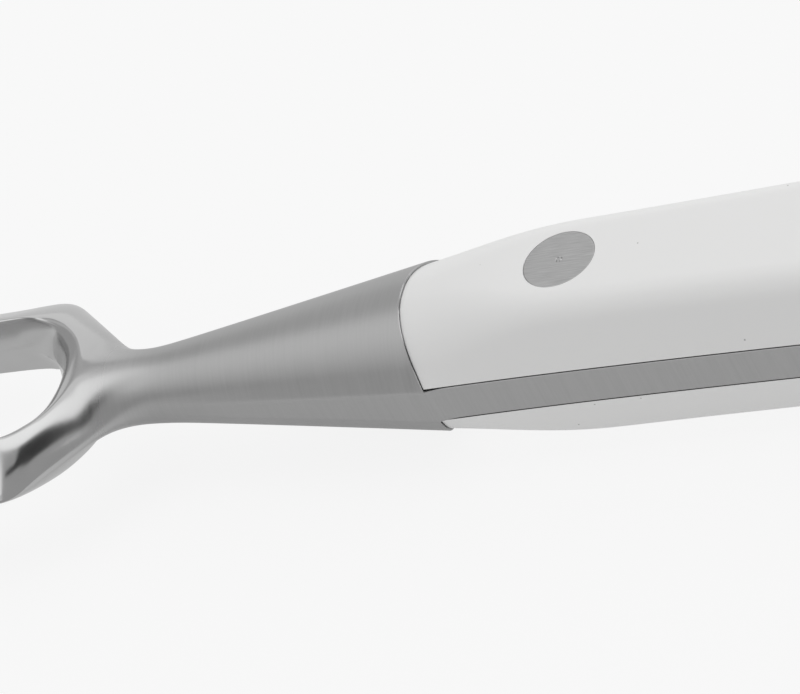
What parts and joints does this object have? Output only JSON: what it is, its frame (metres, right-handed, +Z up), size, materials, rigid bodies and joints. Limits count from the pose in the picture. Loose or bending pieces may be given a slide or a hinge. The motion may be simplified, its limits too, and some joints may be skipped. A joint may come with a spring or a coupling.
{
  "type": "carving fork",
  "caption": "Carving fork with straight tines, a round tapering bolster and a riveted white handle, for holding a roast while it is carved.",
  "frame": {"origin": "centre of the bounding box at the height of the lower handle face, on which the fork lies", "axes": "+X along the fork towards the tips of the tines, +Y across it in the plane of the tines, +Z up through the handle faces, along the rivets"},
  "size_m": [0.302, 0.0296, 0.0192],
  "materials": {
    "forged_steel": "satin ground bolster and tang, polished yoke and tines",
    "handle_white": "smooth white moulding resin with a satin sheen",
    "rivet_steel": "linished flush with the handle faces"
  },
  "bodies": {
    "root": {"forged_fork": "forged_steel", "handle_scale_top": "handle_white", "handle_scale_bottom": "handle_white", "rivet_socket_front": "rivet_steel", "rivet_socket_middle": "rivet_steel", "rivet_socket_rear": "rivet_steel", "rivet_pin_front": "rivet_steel", "rivet_pin_middle": "rivet_steel", "rivet_pin_rear": "rivet_steel"}
  },
  "joints": []
}
